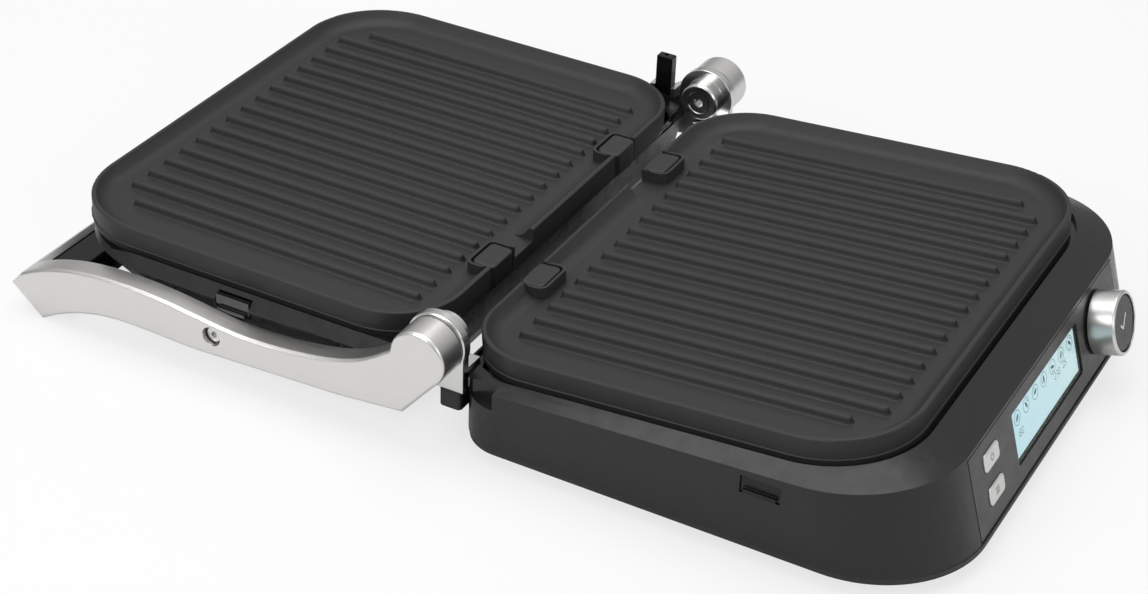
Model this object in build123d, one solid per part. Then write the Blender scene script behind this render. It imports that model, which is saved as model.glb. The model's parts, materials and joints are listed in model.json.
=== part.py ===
from build123d import *
import math
import os

# Contact grill opened flat, in millimetres, +Z up, +X to the user's right.
# The control panel faces -Y. The hinge axis runs along X over y = 0, and the lid lies behind it.

# Heights and the hinge
foot_height = 8.0
hinge_z = 57.0
plate_tilt = 4.5          # the lower plate drains towards the hinge

# Grill plate casting, the same for both sides
rib_count = 17
rib_pitch = 14.3
rib_length = 190.0
rib_height = 3.6
rib_top_width = 3.2
rib_foot_width = 5.4
end_rib_shorter = 12.5    # the outermost ribs stop short of the rounded corners
plate_side_margin = 30.6  # from the outermost rib's middle to the plate's side
plate_front_margin = 16.8
plate_back_margin = 20.0
plate_front_radius = 48.0
plate_back_radius = 38.0
rim_height = 3.4          # above the rib tops
rim_width = 2.4
rim_slope = 9.5           # width of the hollowed inner side of the rim
floor_thickness = 4.2
skirt_bottom = -10.9      # below the rib tops
skirt_wall = 4.0
hook_x = 67.5
hook_width = 21.0
hook_depth = 12.5
hook_play = 1.0
hook_collar = 1.6
spout_x = 45.0
spout_width = 19.0

# Where the plates sit from the hinge axis
base_rib_start = 25.8
base_rib_drop = 5.6
lid_rib_start = 31.0
lid_rib_drop = 2.5
plate_lift = 60.0

# Base housing
base_band = 9.5           # housing beside the gap round the plate
base_front_band = 19.9
front_setback = 14.5      # the panel leans back this far up to the ridge
base_back_y = -13.0
base_ridge_back_z = 42.3
base_ridge_front_z = 56.6
base_back_radius = 24.0
base_front_radius = 60.0
wall = 2.5
front_wall = 6.0
cover_thickness = 3.3
cover_inset = 0.6
plate_gap = 3.5           # dark gap between plate skirt and housing
crown_drop = 8.5          # housing opening edge below the rib tops
flange_drop = 11.0        # tray flange top below the rib tops

# Reflector trays and heaters, measured in the plate's own frame
tray_sheet = 1.0
tray_inset = 9.0
tray_front_inset = 26.0
tray_floor = -27.0
flange_gap = 0.7
heater_radius = 3.25
heater_drop = -16.5
heater_reach_x = 108.0
heater_reach_y = 74.0
heater_bend = 22.0
probe_radius = 8.0

# Control panel, measured up the sloping front
panel_half_width = 102.5
panel_top = 49.0
panel_thickness = 3.0
panel_gap = 0.5
display_x = -1.0
display_width = 93.5
display_height = 28.5
display_up = 27.8
display_recess = 0.8
window_thickness = 1.6
button_x = -78.0
button_width = 18.3
button_height = 9.6
button_corner = 2.6
button_up = {"power": 37.3, "mode": 19.2}
button_proud = 0.9
button_travel = 1.0
button_play = 0.25
knob_x = 72.5
knob_up = 28.3
knob_radius = 17.0
knob_length = 15.3
knob_rim = 1.9
knob_standoff = 1.0
ok_recess = 0.8
ok_travel = 1.0
ok_thickness = 3.0
shaft_radius = 5.0
stem_radius = 2.9
running_gap = 0.06
board_thickness = 1.6

# Hinge
bracket_side_gap = 0.4    # from the plate's side to the bracket's inner face
bracket_thickness = 5.6
bracket_radius = 16.5
bracket_front_y = -15.6
bracket_bottom_z = 32.0
bushing_radius = 11.2
bushing_length = 9.0
bolt_radius = 4.0
bolt_head_radius = 6.0
bolt_head_height = 5.0
hinge_gap = 0.3
barrel_radius = 15.4
barrel_groove = 1.0
tab_width = 11.4
tab_low_z = 34.0
tab_height = 5.6
tab_riser = 11.0          # the tab is taller behind the housing than inside it
tab_front_y = -36.0

# Arms and handle
arm_side_gap = 1.5        # from the lid's side to the arm
arm_thickness = 12.0
arm_edge_radius = 2.0
pivot_reach = 108.4       # from the lid's hinge edge to the screws that it rocks on
pivot_z = 27.9
pivot_radius = 3.0
pivot_head_radius = 4.5
pivot_pocket_radius = 5.4
pivot_pocket_depth = 7.0
grip_wall = 4.5

# Lid housing, drawn as it lies when the grill is open
lid_band = 10.5           # the lid is this much wider than the plate on each side
lid_back_y = 13.0
lid_far_overhang = 1.8    # the plate's far edge stands out over the housing
handle_reach = 15.0       # from the lid's far edge to the handle's tip
lid_waist_draw = 16.0     # the far edge draws in above the handle
lid_low_draw = 24.0
lid_top_z = 13.0          # the outer face when closed lies lowest when open
lid_waist_z = 30.0
lid_ridge_z = 41.0
lid_taper = 8.0
lid_back_radius = 12.0
lid_far_radius = 62.0
lid_cover_depth = 7.0
lid_boss_height = 8.0
lid_side_gap = 0.8

# Hinge release plunger on the right arm
plunger_width = 5.4
plunger_y = 30.0
plunger_depth = 10.0
plunger_low_z = 48.0
plunger_top_z = 72.0
plunger_travel = 2.5
guide_low_z = 47.0
guide_top_z = 53.0
plunger_play = 0.3

# Plate release latches on the left side
latch_width = 20.0
latch_height = 9.0
latch_travel = 2.0
latch_play = 0.3
latch_proud = 1.2
base_latch_y = -178.0
base_latch_z = 43.5
lid_latch_y = 118.0
lid_latch_z = 39.5

# Drip tray behind the base
drip_end_inset = 10.0
drip_far_x = 72.0
drip_depth = 12.5
drip_low_z = 19.0
drip_high_z = 30.0
drip_wall = 1.6
rail_thickness = 2.0
rail_gap = 0.3

# Fixings
screw_radius = 1.6
screw_head_radius = 3.2
boss_radius = 5.0
foot_radius = 11.0
vent_x = 62.0
vent_pitch = 8.0
vent_length = 60.0
vent_width = 3.2
gland_inset = 46.0
gland_z = 25.0
gland_radius = 6.0

plate_half_length = rib_length / 2
plate_half_width = (rib_count - 1) / 2 * rib_pitch + plate_side_margin
base_half_width = plate_half_width + plate_gap + base_band
base_front_top_y = -(base_rib_start + rib_length + plate_front_margin + plate_gap + base_front_band)
base_front_bottom_y = base_front_top_y - front_setback
bracket_inner_x = plate_half_width + bracket_side_gap
bracket_outer_x = bracket_inner_x + bracket_thickness
lid_half_width = plate_half_width + lid_band
arm_inner_x = lid_half_width + arm_side_gap
arm_outer_x = arm_inner_x + arm_thickness
plunger_x = arm_inner_x - 3
lid_far_y = lid_rib_start + rib_length + plate_front_margin - lid_far_overhang
lid_waist_y = lid_far_y - lid_waist_draw
lid_far_low_y = lid_far_y - lid_low_draw
arm_end_y = lid_far_y + handle_reach
pivot_y = lid_back_y + pivot_reach
drip_near_x = drip_end_inset - base_half_width
gland_x = base_half_width - gland_inset
plate_front_y = -(plate_half_length + plate_front_margin)
plate_back_y = plate_half_length + plate_back_margin
floor_top = -rib_height
floor_bottom = floor_top - floor_thickness
cover_top_z = foot_height + cover_thickness
panel_lean = math.degrees(math.atan2(base_front_top_y - base_front_bottom_y,
                                     base_ridge_front_z - foot_height))
ridge_tilt = math.degrees(math.atan2(base_ridge_front_z - base_ridge_back_z,
                                     base_back_y - base_front_top_y))


def outline(half_width, back_y, front_y, back_radius, front_radius):
    """Rounded outline in plan: +y edge is the back, -y edge the front."""
    right_back = CenterArc((half_width - back_radius, back_y - back_radius), back_radius, 0, 90)
    left_back = CenterArc((-half_width + back_radius, back_y - back_radius), back_radius, 90, 90)
    left_front = CenterArc((-half_width + front_radius, front_y + front_radius), front_radius, 180, 90)
    right_front = CenterArc((half_width - front_radius, front_y + front_radius), front_radius, 270, 90)
    arcs = [right_back, left_back, left_front, right_front]
    edges = []
    for here, after in zip(arcs, arcs[1:] + arcs[:1]):
        edges += [here, Line(here @ 1, after @ 0)]
    return make_face(edges)


def skin(levels):
    """Solid through outlines, each a (location, face) pair, joined by straight walls."""
    wires = [(place * face).face().outer_wire() for place, face in levels]
    return Solid.make_loft(wires, ruled=True)


def prism(face, low, high):
    return extrude(Pos(0, 0, low) * face, high - low)


def block(low, high):
    """Box between two corners."""
    size = [b - a for a, b in zip(low, high)]
    centre = [(a + b) / 2 for a, b in zip(low, high)]
    return Pos(*centre) * Box(*size)


def rod(radius, start_x, end_x, y=0.0, z=0.0):
    """Round bar along X."""
    length = end_x - start_x
    return Pos((start_x + end_x) / 2, y, z) * Rot(0, 90, 0) * Cylinder(radius, length)


def mirrored(shape):
    return mirror(shape, about=Plane.YZ)


base_plate_place = (Pos(0, 0, hinge_z) * Rot(-plate_tilt, 0, 0)
                    * Pos(0, -(base_rib_start + plate_half_length), -base_rib_drop))
lid_plate_place = (Pos(0, lid_rib_start + plate_half_length, hinge_z - lid_rib_drop)
                   * Rot(0, 0, 180))
panel_place = Location(Plane(
    origin=(0, base_front_bottom_y, foot_height), x_dir=(1, 0, 0),
    z_dir=(0, -math.cos(math.radians(panel_lean)), math.sin(math.radians(panel_lean)))))


def plate_outline(grow=0.0):
    return outline(plate_half_width + grow, plate_back_y + grow, plate_front_y - grow,
                   plate_back_radius + grow, plate_front_radius + grow)


def rib(length):
    """Rib with sloping sides and rounded ends, standing on the plate's floor."""
    foot = Pos(0, 0, floor_top) * Rot(0, 0, 90) * SlotOverall(length, rib_foot_width)
    slope = rib_foot_width - rib_top_width
    top = Rot(0, 0, 90) * SlotOverall(length - slope, rib_top_width)
    return Solid.make_loft([foot.face().outer_wire(), top.face().outer_wire()], ruled=True)


def grill_plate():
    """Die-cast plate: ribs along y, hinge edge at +y, rib tops at z = 0."""
    body = prism(plate_outline(), skirt_bottom, rim_height)
    body = fillet(body.edges().group_by(Axis.Z)[-1], rim_width * 0.4)
    body -= prism(plate_outline(-skirt_wall), skirt_bottom - 1, floor_bottom)
    rise = rim_height - floor_top
    well = skin([(Pos(0, 0, floor_top), plate_outline(-rim_width - rim_slope)),
                 (Pos(0, 0, floor_top + 0.1 * rise), plate_outline(-rim_width - 0.67 * rim_slope)),
                 (Pos(0, 0, floor_top + 0.36 * rise), plate_outline(-rim_width - 0.34 * rim_slope)),
                 (Pos(0, 0, rim_height), plate_outline(-rim_width))])
    body -= well
    notch_width = hook_width + 2 * hook_play
    notch_depth = hook_depth + hook_play
    for side in (-1, 1):
        collar_low = plate_back_y - notch_depth - hook_collar
        collar = Pos(side * hook_x, (collar_low + plate_back_y - 2) / 2, floor_bottom) * extrude(
            RectangleRounded(notch_width + 2 * hook_collar, plate_back_y - 2 - collar_low, 5),
            rim_height - 0.4 - floor_bottom)
        body += collar
    for side in (-1, 1):
        notch = Pos(side * hook_x, plate_back_y - notch_depth / 2 + 5, skirt_bottom - 1) * extrude(
            RectangleRounded(notch_width, notch_depth + 10, 3.5), rim_height - skirt_bottom + 3)
        body -= notch
    body -= block((spout_x - spout_width / 2, plate_back_y - rim_width - rim_slope, floor_top),
                  (spout_x + spout_width / 2, plate_back_y + 2, rim_height + 1))
    middle = (rib_count - 1) / 2
    for i in range(rib_count):
        outermost = i in (0, rib_count - 1)
        length = rib_length - (end_rib_shorter if outermost else 0)
        shift = end_rib_shorter / 2 if outermost else 0
        body += Pos((i - middle) * rib_pitch, shift, 0) * rib(length)
    return body


def reflector_tray(rim):
    """Pressed tray under a plate; its flange carries the plate's skirt."""
    back = min(plate_back_y - tray_inset, rim.bounding_box().max.Y - 6)
    inset = tray_inset + tray_sheet
    front = plate_front_y + tray_front_inset
    pan = outline(plate_half_width - tray_inset, back, front,
                  plate_back_radius - tray_inset, plate_front_radius - tray_inset)
    inner = outline(plate_half_width - inset, back - tray_sheet, front + tray_sheet,
                    plate_back_radius - inset, plate_front_radius - inset)
    body = prism(rim, -flange_drop - tray_sheet, -flange_drop) + prism(pan, tray_floor, -flange_drop)
    return body - prism(inner, tray_floor + tray_sheet, -flange_drop + 1)


def heating_element():
    """Tubular heater bent in an M under the plate, both ends at the hinge side."""
    x, y = heater_reach_x, heater_reach_y
    points = [(-x, y), (-x, -y), (-x / 3, -y), (-x / 3, y * 0.55), (x / 3, y * 0.55),
              (x / 3, -y), (x, -y), (x, y)]
    path = Pos(0, 0, heater_drop) * FilletPolyline(*points, radius=heater_bend)
    section = Plane(origin=path @ 0, z_dir=path % 0) * Circle(heater_radius)
    return sweep(section, path=path)


def heater_clips():
    """Sheet saddles that hold the heater on the tray floor."""
    clips = []
    for x in (-heater_reach_x, heater_reach_x):
        for y in (-heater_reach_y * 0.35, heater_reach_y * 0.65):
            low = tray_floor + tray_sheet
            saddle = block((x - 6, y - 5, low), (x + 6, y + 5, heater_drop))
            saddle -= Pos(x, y, heater_drop) * Rot(90, 0, 0) * Cylinder(heater_radius + 0.05, 12)
            saddle -= block((x - 4.5, y - 6, low + 1.2), (x + 4.5, y + 6, low + 4.5))
            clips.append(saddle)
    return clips


def thermostat():
    """Sensor button on the tray floor, sprung up against the plate on the real part."""
    low = tray_floor + tray_sheet
    body = Pos(0, -10, low) * Cylinder(probe_radius, floor_bottom - 0.3 - low,
                                       align=(Align.CENTER, Align.CENTER, Align.MIN))
    return body + Pos(0, -10, low) * Cylinder(probe_radius + 4, 2,
                                              align=(Align.CENTER, Align.CENTER, Align.MIN))


def plate_hook(side):
    """Locating block at the hinge edge that fills the plate's notch."""
    low_y = plate_back_y - hook_depth
    body = Pos(side * hook_x, low_y + (hook_depth + 1) / 2, -flange_drop) * extrude(
        RectangleRounded(hook_width, hook_depth + 1, 3), flange_drop + rim_height - 0.4)
    top = body.edges().group_by(Axis.Z)[-1]
    return fillet(top, 1.2)


def base_outline(z, inset=0.0, front_inset=None):
    """Housing outline at a height below the ridge: only the front face leans."""
    front_inset = inset if front_inset is None else front_inset
    lean = (z - foot_height) * math.tan(math.radians(panel_lean))
    return outline(base_half_width - inset, base_back_y - inset,
                   base_front_bottom_y + lean + front_inset,
                   base_back_radius - inset, base_front_radius - inset)


def ridge_level(drop, inset, front_inset):
    """Ridge outline on its own sloping plane."""
    cosine = math.cos(math.radians(ridge_tilt))
    height = base_ridge_back_z + base_back_y * math.tan(math.radians(ridge_tilt))
    place = Pos(0, 0, height - drop) * Rot(-ridge_tilt, 0, 0)
    face = outline(base_half_width - inset, (base_back_y - inset) / cosine,
                   (base_front_top_y + front_inset) / cosine,
                   base_back_radius - inset, base_front_radius - inset)
    return place, face


def crown_level(drop, half_width, back_y, front_y, back_radius, front_radius):
    place = Pos(0, 0, hinge_z) * Rot(-plate_tilt, 0, 0) * Pos(0, 0, -base_rib_drop - drop)
    return place, outline(half_width, back_y, front_y, back_radius, front_radius)


base_front_reach = base_rib_start + rib_length + plate_front_margin
opening_half = plate_half_width + plate_gap


def base_housing():
    outer = skin([
        (Pos(0, 0, cover_top_z), base_outline(cover_top_z)),
        ridge_level(0, 0, 0),
        crown_level(crown_drop, opening_half, base_back_y - 4, -base_front_reach - plate_gap,
                    base_back_radius - 4, plate_front_radius + plate_gap)])
    cavity = skin([
        (Pos(0, 0, cover_top_z - 1), base_outline(cover_top_z - 1, wall, front_wall)),
        ridge_level(3.4, wall, front_wall),
        crown_level(flange_drop, opening_half + 3, base_back_y - wall - 0.5,
                    -base_front_reach - plate_gap - 3, base_back_radius - wall,
                    plate_front_radius + plate_gap + 3)])
    body = outer - cavity
    # corner blocks carry the reflector tray; the rear ones hold the seats for the hinge plunger
    for side in (-1, 1):
        low_x, high_x = sorted((side * (plate_half_width - 2), side * (base_half_width + 2)))
        body += block((low_x, base_back_y - 27, 28), (high_x, base_back_y - 1, hinge_z)) & outer
        front_y = base_front_top_y + 44
        body += block((low_x, front_y, cover_top_z), (high_x, front_y + 9, hinge_z)) & outer
        seat_inner = plunger_x - plunger_width / 2 - 1.5
        low_x, high_x = sorted((side * seat_inner, side * (base_half_width + 2)))
        body -= block((low_x, -36, 34.5), (high_x, -20, hinge_z))
    body -= base_plate_place * prism(base_flange(flange_gap), -flange_drop - tray_sheet, -flange_drop)
    body -= base_plate_place * prism(plate_outline(plate_gap), -flange_drop, 20)
    body -= panel_pocket()
    body -= latch_window(-base_half_width, base_latch_y, base_latch_z, wall)
    for side in (-1, 1):
        body += bracket_shelf(side) & outer
        low_x, high_x = tab_span(side)
        body -= block((low_x - 0.2, tab_front_y - 0.2, tab_low_z),
                      (high_x + 0.2, -4, tab_low_z + tab_height + 0.2))
        body -= block((low_x - 0.2, bracket_front_y - 0.2, tab_low_z),
                      (high_x + 0.2, -4, tab_low_z + tab_riser + 0.2))
        body -= bracket_screw(side, 0.1)
    for x, y in cover_bosses:
        body += (Pos(x, y, cover_top_z) * Cylinder(boss_radius, 12, align=(
            Align.CENTER, Align.CENTER, Align.MIN))) & outer
        body -= Pos(x, y, cover_top_z - 1) * Cylinder(screw_radius + 0.05, 11, align=(
            Align.CENTER, Align.CENTER, Align.MIN))
    body -= Pos(gland_x, base_back_y, gland_z) * Rot(90, 0, 0) * Cylinder(gland_radius + 0.1, 12)
    body += drip_rail()
    return body


def tab_span(side):
    inner = bracket_inner_x - tab_width
    return sorted((side * inner, side * bracket_inner_x))


def bracket_shelf(side):
    """Block on the housing floor that a hinge bracket's tab is screwed down to."""
    low_x, high_x = tab_span(side)
    return block((low_x - 0.2, tab_front_y - 1, cover_top_z), (high_x + 1, -14, tab_low_z))


def bracket_screw(side, play=0.0):
    """Screw from below through the shelf into the bracket's tab."""
    x = side * (bracket_inner_x - tab_width / 2)
    y = tab_front_y + 9
    low = cover_top_z + 0.5
    align = (Align.CENTER, Align.CENTER, Align.MIN)
    head_drop = 5 if play else 0
    head = Pos(x, y, low - head_drop) * Cylinder(3.6 + play, 3.2 + head_drop, align=align)
    return head + Pos(x, y, low) * Cylinder(2.0 + play / 2, tab_low_z + 4 - low, align=align)


def latch_window(wall_x, y, z, depth):
    grow = latch_play
    return block((wall_x - 3, y - latch_width / 2 - grow, z - latch_height / 2 - grow),
                 (wall_x + depth + 5, y + latch_width / 2 + grow, z + latch_height / 2 + grow))


def latch(wall_x, y, z):
    """Release button in the side wall: a face with a finger lip along its lower edge."""
    low_y, high_y = y - latch_width / 2, y + latch_width / 2
    low_z, high_z = z - latch_height / 2, z + latch_height / 2
    face = block((wall_x + 0.8, low_y, low_z), (wall_x + 3.4, high_y, high_z))
    lip = block((wall_x - latch_proud, low_y + 1.5, low_z + 0.6), (wall_x + 1, high_y - 1.5, low_z + 2.6))
    tongue = block((wall_x + 3, y - 6, z - 2), (wall_x + 6, y + 6, z + 2))
    return face + fillet(lip.edges().filter_by(Axis.Z), 0.8) + tongue


vent_middle_y = (base_back_y + base_front_top_y) / 2
cover_bosses = [(side * (base_half_width - wall - boss_radius + 0.6), y)
                for side in (-1, 1)
                for y in (base_back_y - 49, vent_middle_y + 4.5, base_front_top_y + 60)]


def panel_pocket():
    """Front recess for the panel, with the display, button and shaft windows behind it."""
    pocket = block((-panel_half_width - panel_gap, -5, -panel_thickness),
                   (panel_half_width + panel_gap, panel_top + panel_gap, 5))
    low_x, high_x = display_x - display_width / 2, display_x + display_width / 2
    pocket += block((low_x - 1, display_up - display_height / 2 - 1, -12),
                    (high_x + 1, display_up + display_height / 2 + 1, 0))
    for up in button_up.values():
        pocket += block((button_x - button_width / 2 - 2, up - button_height / 2 - 1.8, -12),
                        (button_x + button_width / 2 + 2, up + button_height / 2 + 1.8, 0))
    pocket += Pos(knob_x, knob_up, -6) * Cylinder(shaft_radius + 1, 14)
    return panel_place * pocket


def control_panel():
    lean = math.radians(panel_lean)
    low = (cover_thickness + panel_gap + panel_thickness * math.sin(lean)) / math.cos(lean)
    body = block((-panel_half_width, low, -panel_thickness), (panel_half_width, panel_top, 0))
    window = Pos(display_x, display_up, -display_recess - window_thickness) * extrude(
        RectangleRounded(display_width + 0.2, display_height + 0.2, 1.5), 10)
    body -= window
    body -= Pos(display_x, display_up, -panel_thickness - 1) * extrude(
        RectangleRounded(display_width - 3, display_height - 3, 1.2), 10)
    for up in button_up.values():
        body -= Pos(button_x, up, -panel_thickness - 1) * extrude(RectangleRounded(
            button_width + 2 * button_play, button_height + 2 * button_play,
            button_corner + button_play), 10)
    body -= Pos(knob_x, knob_up, 0) * Cylinder(shaft_radius + 0.3, 12)
    return panel_place * body


def display_window():
    face = RectangleRounded(display_width, display_height, 1.4)
    return panel_place * Pos(display_x, display_up, -display_recess - window_thickness) * extrude(
        face, window_thickness)


def display_module():
    low = -panel_thickness - 6
    half_width, half_height = display_width / 2, display_height / 2
    body = block((-half_width, -half_height, low), (half_width, half_height, -panel_thickness))
    body += block((2 - half_width, 2 - half_height, -panel_thickness - 0.5),
                  (half_width - 2, half_height - 2, -display_recess - window_thickness - 0.05))
    return panel_place * Pos(display_x, display_up, 0) * body


board_face = -panel_thickness - 6


def control_board():
    reach = panel_half_width - 5
    body = block((-reach, 7, board_face - board_thickness), (reach, panel_top - 4, board_face))
    for up in button_up.values():
        body += block((button_x - 3, up - 3, board_face - 0.1),
                      (button_x + 3, up + 3, -panel_thickness - 1.2 - button_travel - 0.2))
    return panel_place * body


def panel_button(name):
    """Key cap with a flange behind the panel that keeps it in."""
    up = button_up[name]
    cap = Pos(button_x, up, -panel_thickness - 1) * extrude(
        RectangleRounded(button_width, button_height, button_corner),
        panel_thickness + 1 + button_proud)
    cap = chamfer(cap.edges().group_by(Axis.Z)[-1], 0.4)
    flange = Pos(button_x, up, -panel_thickness - 1.2) * extrude(
        RectangleRounded(button_width + 2.4, button_height + 2.4, button_corner + 1), 1.15)
    return panel_place * (cap + flange)


def encoder_body():
    """Rotary encoder body on the board."""
    body = block((knob_x - 7, knob_up - 7, board_face), (knob_x + 7, knob_up + 7, board_face + 2.2))
    return panel_place * (body - Pos(knob_x, knob_up, board_face) * Cylinder(
        shaft_radius + running_gap, 10))


def encoder_shaft():
    """Hollow shaft that carries the knob, with the OK button's stem inside it."""
    align = (Align.CENTER, Align.CENTER, Align.MIN)
    low = board_face + 0.4
    body = Pos(knob_x, knob_up, low) * Cylinder(shaft_radius, knob_length - 6.5 - low, align=align)
    return panel_place * (body - Pos(knob_x, knob_up, low - 1) * Cylinder(
        stem_radius + running_gap, 60, align=align))


def selector_knob():
    align = (Align.CENTER, Align.CENTER, Align.MIN)
    body = Pos(knob_x, knob_up, knob_standoff) * Cylinder(
        knob_radius, knob_length - knob_standoff, align=align)
    body = chamfer(body.edges().group_by(Axis.Z)[-1], 0.9)
    floor = knob_length - ok_recess - ok_thickness - ok_travel - 0.3
    body -= Pos(knob_x, knob_up, floor) * Cylinder(knob_radius - knob_rim, 20, align=align)
    body -= Pos(knob_x, knob_up, 0) * Cylinder(shaft_radius + running_gap, 40, align=align)
    return panel_place * body


def ok_button():
    align = (Align.CENTER, Align.CENTER, Align.MIN)
    top = knob_length - ok_recess
    disc = Pos(knob_x, knob_up, top - ok_thickness) * Cylinder(
        knob_radius - knob_rim - 0.25, ok_thickness, align=align)
    disc = chamfer(disc.edges().group_by(Axis.Z)[-1], 0.5)
    low = board_face + ok_travel + 0.7
    stem = Pos(knob_x, knob_up, low) * Cylinder(stem_radius, top - 1 - low, align=align)
    return panel_place * (disc + stem)


def bottom_cover():
    face = base_outline(foot_height, cover_inset, cover_inset)
    body = prism(face, foot_height, cover_top_z)
    for x, y in cover_bosses:
        body -= cover_screw(x, y, 0.1)
    for x, y in foot_places:
        body -= Pos(x, y, foot_height) * Cylinder(3.1, 20)
    for side in (-1, 1):
        x = side * (bracket_inner_x - tab_width / 2)
        body -= Pos(x, tab_front_y + 9, foot_height) * Cylinder(4.0, 20)
        for i in range(9):
            vent = Rot(0, 0, 90) * SlotOverall(vent_length, vent_width)
            vent = Pos(side * vent_x + (i - 4) * vent_pitch, vent_middle_y, foot_height) * vent
            body -= prism(vent, -1, cover_thickness + 1)
    return body


def cover_screw(x, y, play=0.0):
    align = (Align.CENTER, Align.CENTER, Align.MIN)
    low = foot_height + (0.3 if not play else -1)
    head_top = foot_height + 2.3
    head = Pos(x, y, low) * Cylinder(screw_head_radius + play, head_top - low, align=align)
    shank = Pos(x, y, head_top - 0.1) * Cylinder(screw_radius - 0.05 + play, 9, align=align)
    if not play:
        head -= Pos(x, y, low - 0.1) * extrude(RegularPolygon(1.6, 6), 1.4)
    return head + shank


foot_places = [(side * x, y) for side in (-1, 1)
               for x, y in ((base_half_width - 32, base_back_y - 33),
                            (base_half_width - 46, base_front_top_y + 34))]


def foot(x, y):
    align = (Align.CENTER, Align.CENTER, Align.MIN)
    pad = Pos(x, y, 0) * Cylinder(foot_radius, foot_height, align=align)
    pad = chamfer(pad.edges().group_by(Axis.Z)[0], 1.2)
    return pad + Pos(x, y, foot_height - 0.5) * Cylinder(3.0, 5, align=align)


def hinge_bracket():
    """Right bracket: rounded cheek plate, bushing on its inner side, tab into the housing."""
    profile = make_face(Polyline(
        (bracket_front_y, hinge_z), (bracket_front_y, bracket_bottom_z), (1, bracket_bottom_z),
        (1, hinge_z), close=True))
    profile += Pos(0, hinge_z) * Circle(bracket_radius)
    plate = Plane(origin=(bracket_inner_x, 0, 0), x_dir=(0, 1, 0), z_dir=(1, 0, 0)) * profile
    body = extrude(plate, bracket_outer_x - bracket_inner_x)
    body = chamfer(body.edges().group_by(Axis.X)[-1], 0.6)
    bushing = rod(bushing_radius, bracket_inner_x - bushing_length, bracket_inner_x, 0, hinge_z)
    bushing = chamfer(bushing.edges().group_by(Axis.X)[0], 1.0)
    low_x, high_x = tab_span(1)
    body += bushing
    body += block((low_x, tab_front_y, tab_low_z), (high_x, 2, tab_low_z + tab_height))
    body += block((low_x, bracket_front_y, tab_low_z), (high_x, 2, tab_low_z + tab_riser))
    inner = bracket_inner_x - bushing_length
    body -= rod(bolt_radius + running_gap, inner - 1, bracket_outer_x + 1, 0, hinge_z)
    body -= rod(bolt_head_radius + 0.5, inner - 1, inner + bolt_head_height + 0.4, 0, hinge_z)
    return body - bracket_screw(1, 0.1)


def hinge_bolt():
    """Hex-socket bolt from the bushing's end face into the arm's barrel."""
    inner = bracket_inner_x - bushing_length
    head = rod(bolt_head_radius, inner + 0.2, inner + 0.2 + bolt_head_height, 0, hinge_z)
    body = head + rod(bolt_radius, inner + 3, arm_outer_x - 6, 0, hinge_z)
    socket = Pos(inner, 0, hinge_z) * Rot(0, 90, 0) * extrude(RegularPolygon(2.9, 6), 3.4)
    return body - socket


arm_top = [(arm_end_y - 6.5, 24.0), (arm_end_y - 25, 32.8), (arm_end_y - 47, 38.2),
           (arm_end_y - 74, 40.2), (arm_end_y - 105, 38.8), (109.0, 34.6), (72.0, 36.2),
           (50.0, 40.0), (33.0, 46.0), (21.0, 53.4), (9.0, 62.0)]
arm_bottom = [(arm_end_y - 47, 12.4), (arm_end_y - 61, 15.4), (arm_end_y - 79, 16.6),
              (120.0, 16.2), (46.0, 19.5), (8.5, 23.3)]
arm_tip = (arm_end_y, 16.6)
arm_heel = (arm_end_y - 19, 0.0)


def arm_profile():
    """Side outline of an arm, from the barrel to the goose-neck end at the handle."""
    centre = (0, hinge_z)
    rise = Spline(*arm_top)
    fall = Spline(arm_heel, *arm_bottom[:4])
    join = (-barrel_radius * 0.73, hinge_z - barrel_radius * 0.66)
    edges = [Line(arm_tip, arm_top[0]), rise, Line(arm_top[-1], centre), Line(centre, join),
             Polyline(join, arm_bottom[5], arm_bottom[4], arm_bottom[3]), fall,
             Line(arm_heel, arm_tip)]
    return make_face(edges) + Pos(*centre) * Circle(barrel_radius)


def arm(side):
    """Die-cast arm with its hinge barrel; the outer edges are rounded."""
    inner_x = arm_inner_x
    face = Plane(origin=(inner_x, 0, 0), x_dir=(0, 1, 0), z_dir=(1, 0, 0)) * arm_profile()
    body = extrude(face, arm_thickness)
    body = fillet(body.edges().group_by(Axis.X)[-1], arm_edge_radius)
    start = bracket_outer_x + hinge_gap
    body += rod(barrel_radius - barrel_groove, start, start + barrel_groove + 0.5, 0, hinge_z)
    body += rod(barrel_radius, start + barrel_groove, inner_x + 1, 0, hinge_z)
    body -= rod(pivot_pocket_radius, arm_outer_x - pivot_pocket_depth, arm_outer_x + 1, pivot_y, pivot_z)
    body -= rod(pivot_radius + 0.05, inner_x - 1, arm_outer_x, pivot_y, pivot_z)
    body -= rod(bolt_radius + 0.05, bracket_outer_x, arm_outer_x - 5.5, 0, hinge_z)
    if side > 0:
        body += block((plunger_x - plunger_width / 2 - 0.6, plunger_y - plunger_depth / 2 - 3,
                       guide_low_z), (inner_x + 1, plunger_y + plunger_depth / 2 + 3, guide_top_z))
        body -= plunger_hole()
    return body if side > 0 else mirrored(body)


def plunger_hole():
    grow = plunger_play
    return block((plunger_x - plunger_width / 2 - 5, plunger_y - plunger_depth / 2 - grow, 30),
                 (plunger_x + plunger_width / 2 + grow, plunger_y + plunger_depth / 2 + grow, 90))


def hinge_plunger():
    """Black post that stands beside the right hinge, with a screw recess in its end."""
    body = block((plunger_x - plunger_width / 2, plunger_y - plunger_depth / 2, plunger_low_z),
                 (plunger_x + plunger_width / 2, plunger_y + plunger_depth / 2, plunger_top_z))
    body = chamfer(body.edges().group_by(Axis.Z)[-1], 0.7)
    return body - Pos(plunger_x, plunger_y, plunger_top_z - 3) * Cylinder(1.3, 8)


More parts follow.
